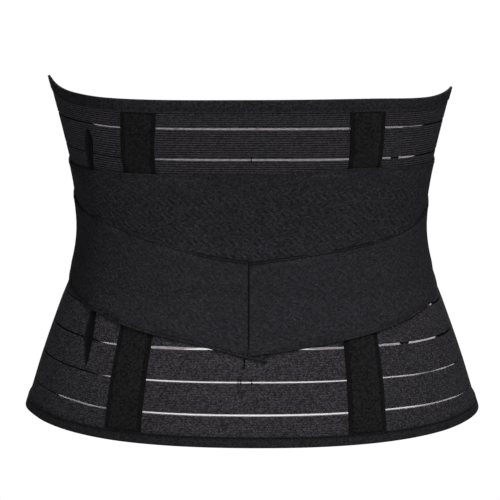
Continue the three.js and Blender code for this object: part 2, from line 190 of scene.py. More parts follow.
def through(table, at, column=1):
    """A smooth curve through a table's column by its first column, straight past its ends."""
    keys, values = table[:, 0], table[:, column]
    slopes = np.diff(values) / np.diff(keys)
    inner = (values[2:] - values[:-2]) / (keys[2:] - keys[:-2])
    tangents = np.concatenate((slopes[:1], inner, slopes[-1:]))
    at = np.asarray(at, float)
    i = np.clip(np.searchsorted(keys, at, side="right") - 1, 0, len(keys) - 2)
    span = keys[i + 1] - keys[i]
    reach = (at - keys[i]) / span
    t = np.clip(reach, 0, 1)
    rise = values[i + 1] - values[i]
    start, end = tangents[i] * span, tangents[i + 1] * span
    curve = values[i] + t * (start + t * (3 * rise - 2 * start - end + t * (start + end - 2 * rise)))
    return curve + (reach - t) * np.where(reach < 0, start, end)


def between(table, at):
    """A table's second column by its first, in straight lines and level past its ends."""
    return np.interp(at, table[:, 0], table[:, 1])


def ease(t):
    t = np.clip(t, 0, 1)
    return t * t * (3 - 2 * t)


def alike(*values):
    """The values as arrays of one shape."""
    return np.broadcast_arrays(*(np.asarray(value, float) for value in values))


def run_length(path):
    """The length along a path up to each of its points."""
    return np.concatenate(([0], np.cumsum(np.linalg.norm(np.diff(path, axis=0), axis=1))))


GRID_HEIGHTS = np.arange(-20.0, 271.0)
QUARTER_STEPS = 240


def quarter_outline(depth_column, first_turn):
    """A quarter of the body's outline at every grid height, in even steps of length: x and y arrays."""
    half_width, squareness = (through(SECTIONS, GRID_HEIGHTS, c)[:, None] for c in (1, 4))
    depth = through(SECTIONS, GRID_HEIGHTS, depth_column)[:, None]
    turn = first_turn + np.linspace(0, math.pi / 2, 181)[None, :]
    across, along = np.abs(np.sin(turn)) / half_width, np.abs(np.cos(turn)) / depth
    radius = (across ** squareness + along ** squareness) ** (-1 / squareness)
    x, y = radius * np.sin(turn), -radius * np.cos(turn)
    steps = np.hypot(np.diff(x, axis=1), np.diff(y, axis=1))
    lengths = np.pad(np.cumsum(steps, axis=1), ((0, 0), (1, 0)))
    even = np.linspace(0, 1, QUARTER_STEPS + 1)
    return [np.array([np.interp(even * run[-1], run, v) for run, v in zip(lengths, side)]) for side in (x, y)]


def body_grid():
    """Points and outward normals of the body by grid height and place round it."""
    back, front = quarter_outline(2, 0.0), quarter_outline(3, math.pi / 2)
    x, y = (np.hstack((b, f[:, 1:])) for b, f in zip(back, front))
    x = np.hstack((-x[:, :0:-1], x))
    y = np.hstack((y[:, :0:-1], y))
    points = np.stack((x, y, np.broadcast_to(GRID_HEIGHTS[:, None], x.shape)), axis=-1)
    normals = np.cross(np.gradient(points, axis=1), np.gradient(points, axis=0))
    return points, normals / np.linalg.norm(normals, axis=-1, keepdims=True)


BODY_POINTS, BODY_NORMALS = body_grid()


def sampled(grid, around, height):
    column = (around - np.round(around) + 0.5) * (grid.shape[1] - 1)
    row = height - GRID_HEIGHTS[0]
    i = np.clip(column.astype(int), 0, grid.shape[1] - 2)
    j = np.clip(row.astype(int), 0, grid.shape[0] - 2)
    s, t = (column - i)[..., None], (row - j)[..., None]
    low = grid[j, i] * (1 - s) + grid[j, i + 1] * s
    high = grid[j + 1, i] * (1 - s) + grid[j + 1, i + 1] * s
    return low * (1 - t) + high * t


def outward(around, height):
    normal = sampled(BODY_NORMALS, around, height)
    return normal / np.linalg.norm(normal, axis=-1, keepdims=True)


def on_body(around, height, offset):
    """Mesh points, in metres in the part's frame."""
    around, height, offset = alike(around, height, offset)
    points = sampled(BODY_POINTS, around, height) + outward(around, height) * offset[..., None]
    points[..., 2] -= WAIST_HEIGHT
    return points * MM


def girth_at(height):
    return float(run_length(sampled(BODY_POINTS, *alike(np.linspace(-0.5, 0.5, 721), height)))[-1])


def band_height(around, share):
    """The height at a share of the band's local height, 0 at its lower edge."""
    around = np.asarray(around, float)
    depth = sampled(BODY_POINTS, around, np.full(around.shape, WAIST_HEIGHT))[..., 1]
    in_front = (depth + np.hypot(depth, EDGE_EASE)) / 2
    low = BOTTOM_EDGE_SLOPE * in_front
    high = BACK_HEIGHT - TOP_EDGE_SLOPE * in_front
    of_first_strip = min(1, share / slit_share(1))
    of_top_strip = max(0, 1 - (1 - share) / (1 - slit_share(STRIPS - 1)))
    turn = around - np.round(around)
    rise = through(EDGE_RISE, turn) * of_top_strip + through(LOWER_EDGE_RISE, turn) * (1 - of_first_strip)
    sag = through(SIDE_SAG, turn) * min(of_first_strip, 1 - of_top_strip)
    return low + (high - low) * share + rise - sag


def slit_share(k):
    """Where the slit above a strip lies, as a share of the band's height."""
    if k in (0, STRIPS):
        return k / STRIPS
    return (FIRST_SLIT + SLIT_PITCH * (k - 1)) / BACK_HEIGHT


# Where tapes and the closure lift a strap: the places round the wrap and how far, and how it slopes down
STRAP_LIFT = 1.3 * CASING_THICKNESS
LIFTED = [(-0.1545, -0.0868), (0.0795, 0.1485), (-0.5, -CLOSURE_EDGE), (CLOSURE_EDGE, 0.5)]
LIFT_EASE = 2 * COLUMN
LAID_DOWN = 7.0
TAPE_SLOPE = 0.006
TAIL_CLEARANCE = 0.001
HIDDEN_STAY_SHARE = 0.35


def over_tapes(around, height):
    """1 where a casing, the left stay or the closure lies under a place, eased to 0 beside it. The right stay
    is so thin that it counts for less."""
    lift = ease(1 - (CLOSURE_EDGE - COLUMN - np.abs(around)) / TAPE_SLOPE)
    tapes = [(line, CASING_HALF_SHARE, 1.0) for line in CASINGS.values()]
    tapes.append((STAYS["side_stay_left"], STAY_HALF_SHARE, 1.0))
    tapes.append((STAYS["side_stay_right"], STAY_HALF_SHARE, HIDDEN_STAY_SHARE))
    for line, half_share, share in tapes:
        past = np.abs(around - through(line, height)) - half_share
        lift = np.maximum(lift, share * ease(1 - past / TAPE_SLOPE))
    return lift


def strap_seat(around, height, edge):
    """How far out a strap's body side lies. Casings, stays and the closure push it off the band, and along
    its edges it lies down between them."""
    distance = np.min([np.maximum(low - around, around - high) for low, high in LIFTED], axis=0)
    lift = ease(1 - (distance - COLUMN) / LIFT_EASE)
    laid = ease(1 - edge / LAID_DOWN) * (1 - over_tapes(around, height))
    return ON_BAND + STRAP_LIFT * lift * (1 - laid)


LOWER_STRAP_ON_TOP = UPPER_STRAP_TOP - UPPER_STRAP_WIDTH - STRAP_WIDTH / 6
LOWER_STRAP_RAMP = 14.0


def lower_strap_seat(side):
    """The same for a lower strap, which also lies over the upper strap and, on the right, the left tail."""
    def seat(around, height, edge):
        level = STRAP_THICKNESS + GAP
        over_upper = ease((height - LOWER_STRAP_ON_TOP + LOWER_STRAP_RAMP) / LOWER_STRAP_RAMP)
        offset = strap_seat(around, height, edge) + level * over_upper
        if side < 0:
            return offset
        past_tail = around - LEFT_STRAP_TAIL
        slack = ease(1 - (past_tail - COLUMN) / LIFT_EASE)
        close = ease(1 - (past_tail - TAIL_CLEARANCE) / TAPE_SLOPE)
        return offset + level * (slack + (close - slack) * ease(1 - edge / LAID_DOWN))
    return seat


# Nodes

def adds_node(operation, reflected=False):
    """An operator of a Term, which adds one Math node."""
    def method(self, other):
        values = (other, self) if reflected else (self, other)
        return self.bench.math(operation, *values)
    return method


class Term:
    """A number in a node tree, whose arithmetic adds Math nodes."""

    def __init__(self, bench, socket):
        self.bench = bench
        self.socket = socket

    __add__ = adds_node("ADD")
    __radd__ = adds_node("ADD", True)
    __sub__ = adds_node("SUBTRACT")
    __rsub__ = adds_node("SUBTRACT", True)
    __mul__ = adds_node("MULTIPLY")
    __rmul__ = adds_node("MULTIPLY", True)
    __truediv__ = adds_node("DIVIDE")
    __rtruediv__ = adds_node("DIVIDE", True)
    __pow__ = adds_node("POWER")
    __rpow__ = adds_node("POWER", True)
    or_larger = adds_node("MAXIMUM")

    def whole(self):
        return self.bench.math("FLOOR", self)

    def fraction(self):
        return self.bench.math("FRACT", self)

    def distance_from(self, middle):
        return self.bench.math("ABSOLUTE", self - middle)

    def wave(self):
        """From 0 to 1 and back, once for each whole step of the term."""
        return 0.5 - 0.5 * self.bench.math("COSINE", self * math.tau)


class Bench:
    """Adds nodes to one tree."""

    def __init__(self, tree):
        self.tree = tree

    def node(self, kind, settings=None, inputs=None):
        """The outputs of a new node. An input is a Term, another node's output or a plain value."""
        made = self.tree.nodes.new(kind)
        for name, value in (settings or {}).items():
            setattr(made, name, value)
        for key, value in (inputs or {}).items():
            if isinstance(value, Term):
                value = value.socket
            if isinstance(value, bpy.types.NodeSocket):
                self.tree.links.new(value, made.inputs[key])
            else:
                made.inputs[key].default_value = value
        return made.outputs

    def math(self, operation, *values):
        return Term(self, self.node("ShaderNodeMath", {"operation": operation}, dict(enumerate(values)))[0])

    def step(self, value, start, end):
        """From 0 at the start to 1 at the end, eased."""
        inputs = {"Value": value, "From Min": start, "From Max": end}
        return Term(self, self.node("ShaderNodeMapRange", {"interpolation_type": "SMOOTHSTEP"}, inputs)[0])

    def split(self, socket):
        return [Term(self, part) for part in self.node("ShaderNodeSeparateXYZ", inputs={0: socket})]

    def scaled(self, vector, scale):
        return self.node("ShaderNodeVectorMath", {"operation": "SCALE"}, {0: vector, "Scale": scale})[0]


class GeometryTree(Bench):
    """A Geometry Nodes tree with named inputs, which makes one plain mesh of a material. It is run once on a
    piece and then removed from it."""

    SOCKETS = {"Geometry": "NodeSocketGeometry", "Material": "NodeSocketMaterial"}

    def __init__(self, name, *inputs):
        super().__init__(bpy.data.node_groups.new(name, "GeometryNodeTree"))
        for label in ("Geometry", "Material", *inputs):
            kind = self.SOCKETS.get(label, "NodeSocketFloat")
            self.tree.interface.new_socket(label, in_out="INPUT", socket_type=kind)
        self.tree.interface.new_socket("Geometry", in_out="OUTPUT", socket_type="NodeSocketGeometry")
        self.given = self.node("NodeGroupInput")

    def size(self, label):
        return Term(self, self.given[label])

    def attribute(self, name, kind="FLOAT_VECTOR"):
        return self.node("GeometryNodeInputNamedAttribute", {"data_type": kind}, {"Name": name})[0]

    def finish(self, geometry):
        plain = self.node("GeometryNodeRealizeInstances", inputs={"Geometry": geometry})[0]
        inputs = {"Geometry": plain, "Material": self.given["Material"]}
        self.node("NodeGroupOutput", inputs={0: self.node("GeometryNodeSetMaterial", inputs=inputs)[0]})
        return self

    def run(self, piece, **sizes):
        modifier = piece.modifiers.new(self.tree.name, "NODES")
        modifier.node_group = self.tree
        for item in self.tree.interface.items_tree:
            key = item.name.lower().replace(" ", "_")
            if item.in_out == "INPUT" and key in sizes:
                modifier[item.identifier] = sizes[key]
        depsgraph = bpy.context.evaluated_depsgraph_get()
        grown = piece.evaluated_get(depsgraph)
        mesh = bpy.data.meshes.new_from_object(grown, preserve_all_data_layers=True, depsgraph=depsgraph)
        piece.modifiers.clear()
        old, piece.data = piece.data, mesh
        bpy.data.meshes.remove(old)
        mesh.name = piece.name
        return piece


def relief_tree(name, inputs, pattern):
    """A tree that presses a pattern, from 0 to 1 on the weave's own coordinates, into a cloth."""
    tree = GeometryTree(name, *inputs, "Plain Edge", "Depth")
    along, across, edge = tree.split(tree.attribute("weave"))
    plain = tree.size("Plain Edge")
    weight = tree.step(edge, plain, plain + 1)
    press = pattern(tree, along, across) * weight * tree.size("Depth") * -1
    normal = tree.node("GeometryNodeInputNormal")["Normal"]
    inputs = {"Geometry": tree.given["Geometry"], "Offset": tree.scaled(normal, press)}
    return tree.finish(tree.node("GeometryNodeSetPosition", inputs=inputs)["Geometry"])


def rib_pattern(tree, along, across):
    """Grooves between ribs that are counted across the cloth."""
    return 1 - across.wave()


# Wales of the herringbone: the narrow one's share of a pair, and how far up the pairs are shifted
NARROW_WALE = 0.4
WALE_SHIFT = 0.8


def in_wales(across, pair):
    """The share of a pair of wales that lies below a place, the narrow wale first."""
    return (across / pair + WALE_SHIFT).fraction()


def run_aside(across, pair):
    """How far a herringbone's ribs have run along the cloth: out in a broad wale, back in a narrow one."""
    place = in_wales(across, pair)
    out = (place - NARROW_WALE) / (1 - NARROW_WALE)
    return out.or_larger(1 - place / NARROW_WALE) * pair * (1 - NARROW_WALE)


def chevron_pattern(tree, along, across):
    """Grooves of a herringbone."""
    pair, pitch = (tree.size(label) for label in ("Wale Pair", "Pitch"))
    return ((along + run_aside(across, pair)) / pitch).wave()


def bead_row_tree():
    """Stitches along sewing lines: beads of thread laid flat on the cloth."""
    tree = GeometryTree("stitch_row", "Pitch", "Length", "Thickness")
    inputs = {"Segments": 6, "Rings": 4, "Radius": 0.5}
    bead = tree.node("GeometryNodeMeshUVSphere", inputs=inputs)["Mesh"]
    tangent = tree.node("GeometryNodeInputTangent")[0]
    turned = tree.node("FunctionNodeAlignRotationToVector", {"axis": "X"}, {"Vector": tangent})[0]
    settings = {"axis": "Z", "pivot_axis": "X"}
    inputs = {"Rotation": turned, "Vector": tree.attribute("out")}
    laid = tree.node("FunctionNodeAlignRotationToVector", settings, inputs)[0]
    length, thickness = tree.given["Length"], tree.given["Thickness"]
    return tree.finish(copies_in_row(tree, bead, laid, length, thickness, thickness))


def strand_row_tree():
    """Fine strands across a slit, one after another along its middle line."""
    tree = GeometryTree("strand_row", "Pitch")
    inputs = {"Vertices": 5, "Radius": 0.5, "Depth": 1.0}
    rod = tree.node("GeometryNodeMeshCylinder", {"fill_type": "NONE"}, inputs)["Mesh"]
    inputs = {"Vector": tree.attribute("up")}
    upright = tree.node("FunctionNodeAlignRotationToVector", {"axis": "Z"}, inputs)[0]
    thickness, reach = (tree.attribute(name, "FLOAT") for name in ("thickness", "reach"))
    return tree.finish(copies_in_row(tree, rod, upright, thickness, thickness, reach))


def copies_in_row(tree, shape, rotation, length, width, height):
    """Smooth copies of a shape along the piece's lines, a pitch apart."""
    line = tree.node("GeometryNodeMeshToCurve", inputs={"Mesh": tree.given["Geometry"]})[0]
    inputs = {"Curve": line, "Length": tree.given["Pitch"]}
    points = tree.node("GeometryNodeResampleCurve", {"mode": "LENGTH"}, inputs)[0]
    smooth = tree.node("GeometryNodeSetShadeSmooth", inputs={"Geometry": shape})[0]
    scale = tree.node("ShaderNodeCombineXYZ", inputs={"X": length, "Y": width, "Z": height})[0]
    inputs = {"Points": points, "Instance": smooth, "Rotation": rotation, "Scale": scale}
    return tree.node("GeometryNodeInstanceOnPoints", inputs=inputs)[0]


# Materials

RIBBED_COLOUR = (0.0283, 0.0264, 0.0307)
STRAP_COLOUR = (0.0167, 0.0157, 0.0194)
CASING_COLOUR = (0.0098, 0.0098, 0.0108)
# The left stay's near black is painted shade: a real stay, darkened for the shade where the back turns away
# from the light
SHADED_STAY_COLOUR = (0.003, 0.0027, 0.0029)
BINDING_COLOUR = (0.0185, 0.0175, 0.02)
# The lower binding's colour is painted shade: the same tape as the upper binding, darker where it faces down
SHADED_LOWER_BINDING_COLOUR = (0.0142, 0.0132, 0.0149)
CLOSURE_COLOUR = (0.0155, 0.015, 0.017)
STITCH_COLOUR = (0.0115, 0.0108, 0.013)
THREAD_COLOUR = (0.0022, 0.0021, 0.0024)
CLEAR_STRAND_COLOUR = (0.74, 0.69, 0.71)
# Painted shade: dense dark strands fill slits drawn shut, where the gap lies in shade
SHADE_STRAND_COLOUR = (0.0015, 0.0014, 0.0015)

# Where the tone changes across the back, in metres from its middle: the start of the change, its end
# The straps' dark lines of painted shade, and the dark thread, are made paler on the left
PALER_LINES_FROM = (-0.118, -0.108)
PALER_LINES_TO = (-0.035, -0.055)
# Painted shade on the straps towards the left
STRAP_SHADE = (-0.105, -0.12)
# Painted shade on the upper binding towards the left, painted light on the lower one
TAPE_SHADE = (-0.085, -0.12)
# Painted light on the band's hip, on the left and in the middle of the back
PAINTED_BAND_LIGHT = (0.1, 0.04)

# Where the band is drawn tight towards the hip and takes painted light, in metres above the waist, in the
# same way
TAUT_AND_LIT = (0.06, -0.04)

# Sizes in the weaves, and the distances of sewing lines from the cloth's edge
RIB_YARN = 1.1
STRAP_YARN = 0.95
TAPE_YARN = 1.05
FLECK = 0.8
CROSS_RIB = 1.7
WALE_PAIR = 10.0
CHEVRON_PITCH = 5.2
STRAP_PLAIN_EDGE = 2.8
STRAP_SEWN_IN = 2.1
CASING_SEWN_IN = 2.7
CLOSURE_SEWN_IN = 2.4
BINDING_SEWN_IN = 1.8


class ClothMaterial(Bench):
    """A Principled cloth, patterned on its place in the part and on the weave's own coordinates."""

    def __init__(self, name, specular=0.5, sheen=0.0, nap=0.5):
        self.material = bpy.data.materials.new(name)
        self.material.use_nodes = True
        super().__init__(self.material.node_tree)
        self.tree.nodes.clear()
        self.gloss = {"Specular IOR Level": specular, "Sheen Weight": sheen, "Sheen Roughness": nap}
        self.place = self.node("ShaderNodeTexCoord")["Object"]

    def attribute(self, name):
        return self.node("ShaderNodeAttribute", {"attribute_name": name})

    def weave(self):
        """Terms for the place along and across the cloth and the distance from its edge."""
        return self.split(self.attribute("weave")["Vector"])

    def noise(self, scale, detail=2.0, roughness=0.5):
        """Mottling from 0 to 1, with its scale in patches per metre."""
        inputs = {"Vector": self.place, "Scale": scale, "Detail": detail, "Roughness": roughness}
        return Term(self, self.node("ShaderNodeTexNoise", inputs=inputs)["Fac"])

    def fibres(self, scale):
        """Stronger mottling, as of single fibres that catch the light."""
        return self.step(self.noise(scale, roughness=0.6), 0.3, 0.7)

    def yarns(self, column, row):
        """One random tone from 0 to 1 for each whole column and row: yarns that lie over or under."""
        cell = self.node("ShaderNodeCombineXYZ", inputs={"X": column.whole(), "Y": row.whole()})[0]
        tone = self.node("ShaderNodeTexWhiteNoise", {"noise_dimensions": "2D"}, {"Vector": cell})
        return Term(self, tone["Value"])

    def across_back(self, change):
        """From 0 to 1 between two places across the back."""
        return self.step(self.split(self.place)[0], *change)

    def paler_lines(self):
        """1 on the left of the back, where the straps' dark lines of painted edge and groove shade, and the
        dark thread, are made paler.
        """
        return self.across_back(PALER_LINES_FROM) * self.across_back(PALER_LINES_TO)

    def blend(self, factor, dark, light):
        inputs = {"Factor": factor, 6: (*dark, 1), 7: (*light, 1)}
        return self.node("ShaderNodeMix", {"data_type": "RGBA"}, inputs)[2]

    def finish(self, colour, roughness, relief=None, depth=0.0):
        """The material, with a relief of a depth in millimetres."""
        inputs = {"Base Color": colour, "Roughness": roughness, **self.gloss}
        if relief is not None:
            bump = {"Strength": 1.0, "Distance": depth * MM, "Height": relief}
            inputs["Normal"] = self.node("ShaderNodeBump", inputs=bump)[0]
        surface = self.node("ShaderNodeBsdfPrincipled", inputs=inputs)[0]
        self.node("ShaderNodeOutputMaterial", inputs={"Surface": surface})
        return self.material


def ribbed_elastic():
    cloth = ClothMaterial("ribbed_elastic", specular=0.1)
    along, across, edge = cloth.weave()
    rib = across.wave()
    yarn = cloth.yarns(along / RIB_YARN + across.whole() * 0.37, across * 2)
    fleck = cloth.yarns(along / FLECK + 7.3, across * 2 + 0.5)
    grain = cloth.fibres(950)
    mottle = cloth.noise(110)
    # 1 towards the hip, where the ribs flatten and the band takes painted light
    taut_and_lit = cloth.step(cloth.split(cloth.place)[2], *TAUT_AND_LIT)
    ribbing = (0.95 - 0.72 * taut_and_lit) * (rib - 0.5)
    sparkle = 0.65 - 0.28 * taut_and_lit + (1.05 + 0.8 * taut_and_lit) * yarn ** 2
    # Painted shade along the strips' edges, darkening the sides of the slits
    rim = cloth.step(edge, 0.7, 0.2)
    tone = (0.42 + ribbing) * sparkle + 0.1 * grain + (0.65 + 0.2 * taut_and_lit) * fleck ** 4 + 0.15 * mottle
    # Painted light: the band's hip is lighter on the left and in the middle of the back
    tone = tone * (1 + 0.13 * taut_and_lit * cloth.across_back(PAINTED_BAND_LIGHT)) * (1 - 0.7 * rim)
    relief = 0.3 * rib + 0.4 * yarn + 0.5 * grain
    return cloth.finish(cloth.scaled(RIBBED_COLOUR, tone), 0.8 + 0.15 * mottle, relief, 0.15)


def strap_herringbone(name, width, edge_shade, ribbing, contrast, plain_margin):
    """Herringbone elastic of a given ribbing and contrast. Its ends, its upper edge and the sewn line there
    show as dark lines of painted edge shade and painted groove shade, as strong as asked, which are made
    about half as dark on the left of the back. A margin below the upper edge is plain, and the strap takes
    painted shade on the far left."""
    cloth = ClothMaterial(name, specular=0.12)
    along, across, edge = cloth.weave()
    turned = along + run_aside(across, WALE_PAIR)
    broad = cloth.step(in_wales(across, WALE_PAIR), NARROW_WALE - 0.05, NARROW_WALE + 0.05)
    rib = 1 - (turned / CHEVRON_PITCH).wave()
    woven = cloth.step(edge, STRAP_PLAIN_EDGE, STRAP_PLAIN_EDGE + 1)
    woven = woven * cloth.step(across, width - plain_margin, width - plain_margin - 4)
    upper = cloth.step(across, width - 8, width - 5)
    off_lower = cloth.step(across, 3, 6)
    # The dark lines' strength, made paler on the left except along the lower edge
    line = edge_shade * (1 - 0.6 * cloth.paler_lines() * off_lower)
    # Painted shade in the sewn groove, strongest along the upper edge
    groove = cloth.step(edge.distance_from(STRAP_SEWN_IN), 0.7, 0.2) * (0.04 + 0.5 * upper * line)
    # Painted edge shade along the ends and edges, thinner and weaker at the lower edge
    rim = line * cloth.step(edge, 0.5 + 0.9 * off_lower, 0.2 + 0.5 * off_lower) * (0.55 + 0.3 * off_lower)
    yarn = cloth.yarns(turned / STRAP_YARN, across / STRAP_YARN)
    fleck = cloth.yarns(turned / FLECK + 5.2, across / FLECK + 0.5)
    grain = cloth.fibres(1000)
    mottle = cloth.noise(130)
    slant = 0.15 + ribbing * (rib - 0.5) * woven * (0.4 + 0.6 * broad)
    varied = slant + 0.65 * yarn ** 2 + 0.15 * grain + 1.05 * fleck ** 4 + 0.2 * mottle
    tone = 0.75 * (1 - contrast) + contrast * varied
    # Painted shade: the strap is darker on the far left of the back
    tone = tone * (1 - rim) * (1 - groove) * (1 - 0.2 * cloth.across_back(STRAP_SHADE))
    relief = ribbing * rib * woven + 0.4 * yarn + 0.4 * grain
    return cloth.finish(cloth.scaled(STRAP_COLOUR, tone), 0.76 + 0.18 * mottle, relief, 0.14)


def tape_velvet(name, colour):
    cloth = ClothMaterial(name, specular=0.08, sheen=0.03)
    _, across, edge = cloth.weave()
    cross_rib = (across / CROSS_RIB).wave()
    nap = cloth.fibres(600)
    # Painted shade in the sewn groove and along the tape's edges
    groove = cloth.step(edge.distance_from(CASING_SEWN_IN), 0.8, 0.1)
    rim = cloth.step(edge, 3.4, 1.6)
    tone = (0.1 * cross_rib + 0.95 * nap + 0.3 * cloth.noise(90) - 0.3 * groove) * (1 - 0.6 * rim)
    return cloth.finish(cloth.scaled(colour, tone), 0.85 + 0.12 * nap, 0.35 * cross_rib + nap, 0.12)


def woven_tape(name, colour, left_shade=0.0, step_shade=0.0):
    """Plain woven tape, with painted shade by given shares on the left of the back and along the sewn step
    where its width begins; a negative share on the left paints light.
    """
    cloth = ClothMaterial(name, specular=0.1)
    along, across, _ = cloth.weave()
    yarn = cloth.yarns(along / TAPE_YARN, across / TAPE_YARN)
    grain = cloth.fibres(950)
    mottle = cloth.noise(120, 3.0)
    tone = 0.7 * yarn ** 2 + 0.65 * grain + 0.3 * mottle
    # Painted shade on the left of the back; a negative share paints light there
    if left_shade:
        tone = tone * (1 - left_shade * cloth.across_back(TAPE_SHADE))
    # Painted shadow along the sewn step where the tape's width begins
    if step_shade:
        tone = tone * (1 - step_shade * cloth.step(across, 2.2, 0.8))
    return cloth.finish(cloth.scaled(colour, tone), 0.8 + 0.15 * mottle, 0.4 * yarn + 0.5 * grain, 0.12)


def loop_pile():
    cloth = ClothMaterial("loop_pile", specular=0.08, sheen=0.05, nap=0.4)
    loops = cloth.noise(900, 4.0, 0.7)
    tone = 1.4 * loops + 0.5 * cloth.noise(90)
    return cloth.finish(cloth.scaled(CLOSURE_COLOUR, tone), 0.85 + 0.14 * loops, loops, 0.5)


def sewing_thread(name, colour, specular, fade=0.0):
    """Thread that is paler by a share on the left of the back, where the straps' dark lines are made paler
    too.
    """
    cloth = ClothMaterial(name, specular=specular)
    twist = cloth.noise(2400, 1.0)
    tone = 0.5 + twist
    if fade:
        tone = tone * (1 + fade * cloth.paler_lines())
    return cloth.finish(cloth.scaled(colour, tone), 0.6 + 0.2 * twist)


def clear_strand():
    cloth = ClothMaterial("clear_strand", specular=0.08)
    pale = Term(cloth, cloth.attribute("pale")["Fac"]) * (0.75 + 0.5 * cloth.noise(260))
    # Where pale is 0 the strands take a painted shade colour, for slits drawn shut
    colour = cloth.blend(pale, SHADE_STRAND_COLOUR, CLEAR_STRAND_COLOUR)
    return cloth.finish(colour, 0.35 + 0.2 * cloth.noise(500))


# Cloth meshes

SHARP_EDGE = math.radians(55)


class Cloth:
    """Collects closed sheets and makes them one piece."""

    def __init__(self):
        self.points, self.faces, self.weave = [], [], []
        self.count = 0

    def add(self, points, faces, weave):
        self.points.append(points.reshape(-1, 3))
        self.weave.append(weave.reshape(-1, 3))
        self.faces += [[k + self.count for k in face] for face in faces]
        self.count += len(self.points[-1])

    def sheet(self, columns, rows, place, coarse=(6, 8)):
        """A wall of cloth over columns and rows. place gives the place round the body, the height, the body
        side's and the outer side's offset and the distance from the edge. The body side is coarser."""
        column, row = np.meshgrid(columns, rows, indexing="ij")
        around, height, inner, outer, edge = (np.broadcast_to(v, row.shape) for v in place(column, row))
        outside, inside = on_body(around, height, outer), on_body(around, height, inner)
        middle = outside[:, len(rows) // 2]
        along = np.broadcast_to(run_length(middle / MM)[:, None], around.shape)
        weave = np.stack((along, row, edge), axis=-1)
        plain = np.stack((along, row, np.zeros_like(edge)), axis=-1)
        faces = sheet_faces(len(columns), len(rows), coarse)
        used = np.zeros(2 * around.size, bool)
        for face in faces:
            used[face] = True
        renumbered = np.cumsum(used) - 1
        points = np.concatenate((outside.reshape(-1, 3), inside.reshape(-1, 3)))[used]
        coordinates = np.concatenate((weave.reshape(-1, 3), plain.reshape(-1, 3)))[used]
        self.add(points, [renumbered[face].tolist() for face in faces], coordinates)

    def piece(self, name, material):
        mesh = bpy.data.meshes.new(name)
        mesh.from_pydata(np.concatenate(self.points).tolist(), [], self.faces)
        store(mesh, "weave", np.concatenate(self.weave))
        mesh.materials.append(material)
        mesh.shade_smooth()
        mesh.set_sharp_from_angle(angle=SHARP_EDGE)
        return placed(name, mesh)


def sheet_faces(wide, high, coarse):
    """Faces of a closed sheet: fine quads outside, a rim, and coarse faces inside that meet the rim."""
    outer = np.arange(wide * high).reshape(wide, high)
    inner = outer + wide * high
    quads = [np.stack((outer[:-1, :-1], outer[1:, :-1], outer[1:, 1:], outer[:-1, 1:]), -1).reshape(-1, 4)]
    for j, (a, b) in ((0, (inner, outer)), (-1, (outer, inner))):
        quads.append(np.stack((a[:-1, j], a[1:, j], b[1:, j], b[:-1, j]), -1))
    for i, (a, b) in ((0, (outer, inner)), (-1, (inner, outer))):
        quads.append(np.stack((a[i, :-1], a[i, 1:], b[i, 1:], b[i, :-1]), -1))
    faces = list(np.concatenate(quads))
    stops = [sorted({*range(0, n - 1, step), n - 1}) for n, step in ((wide, coarse[0]), (high, coarse[1]))]

    def side(start, end, on_rim):
        """Grid corners from start up to end: all of them on the rim, and only the first elsewhere."""
        count = max(abs(end[0] - start[0]), abs(end[1] - start[1])) if on_rim else 1
        i, j = np.rint(np.linspace(start, end, count, endpoint=False)).astype(int).T
        return inner[i, j]

    for left, right in zip(stops[0][:-1], stops[0][1:]):
        for low, top in zip(stops[1][:-1], stops[1][1:]):
            faces.append(np.concatenate((
                side((left, top), (right, top), top == high - 1),
                side((right, top), (right, low), right == wide - 1),
                side((right, low), (left, low), low == 0),
                side((left, low), (left, top), left == 0),
            )))
    return faces


def store(mesh, name, values, kind="FLOAT_VECTOR", key="vector"):
    layer = mesh.attributes.new(name, kind, "POINT")
    layer.data.foreach_set(key, np.ascontiguousarray(values, np.float32).ravel())


def placed(name, data):
    thing = bpy.data.objects.new(name, data)
    bpy.context.scene.collection.objects.link(thing)
    return thing


def edge_steps(length, step, margin):
    """Distances along a length: close together near both ends, then even."""
    margin = np.asarray(margin)
    count = max(int(round((length - 2 * margin[-1]) / step)), 1)
    middle = np.linspace(margin[-1], length - margin[-1], count + 1)[1:-1]
    return np.concatenate((margin, middle, length - margin[::-1]))


# Pieces

STRAP_STEP = 0.86
STRAP_MARGIN = [0, 0.3, 0.7, 1.1, 1.6, 2.1, 2.6, 3.2, 4]
CHEVRON_DEPTH = 0.06
RIBS_PER_STRIP = 13
ROWS_PER_RIB = 3
RIB_PLAIN_EDGE = 0.1
RIB_DEPTH = 0.16
WAIST_GIRTH = girth_at(WAIST_HEIGHT)

rib_relief = relief_tree("rib_relief", (), rib_pattern)
herringbone_relief = relief_tree("herringbone_relief", ("Wale Pair", "Pitch"), chevron_pattern)
stitch_row = bead_row_tree()
strand_row = strand_row_tree()

RIBBED = ribbed_elastic()
HERRINGBONE = strap_herringbone("strap_herringbone", STRAP_WIDTH, 1.0, 0.18, 0.85, 3.0)
LEVEL_HERRINGBONE = strap_herringbone("level_strap_herringbone", UPPER_STRAP_WIDTH, 0.35, 0.34, 1.0, 11.0)
VELVET = tape_velvet("casing_velvet", CASING_COLOUR)
# Painted shade: the left stay's velvet is near black, while the right stay keeps the band's colour
SHADED_STAY_VELVET = tape_velvet("stay_velvet", SHADED_STAY_COLOUR)
# The upper binding takes painted shade on the left; the lower one takes painted light on the left and a
# painted shadow along its upper edge
TAPE = woven_tape("binding_tape", BINDING_COLOUR, 0.25)
LOWER_TAPE = woven_tape("lower_binding_tape", SHADED_LOWER_BINDING_COLOUR, -0.15, 0.5)
STAY_TAPE = woven_tape("stay_tape", RIBBED_COLOUR)
STITCHING = sewing_thread("sewing_thread", STITCH_COLOUR, 0.12)
THREAD = sewing_thread("dark_thread", THREAD_COLOUR, 0.03, 2.2)
PILE, STRAND = loop_pile(), clear_strand()

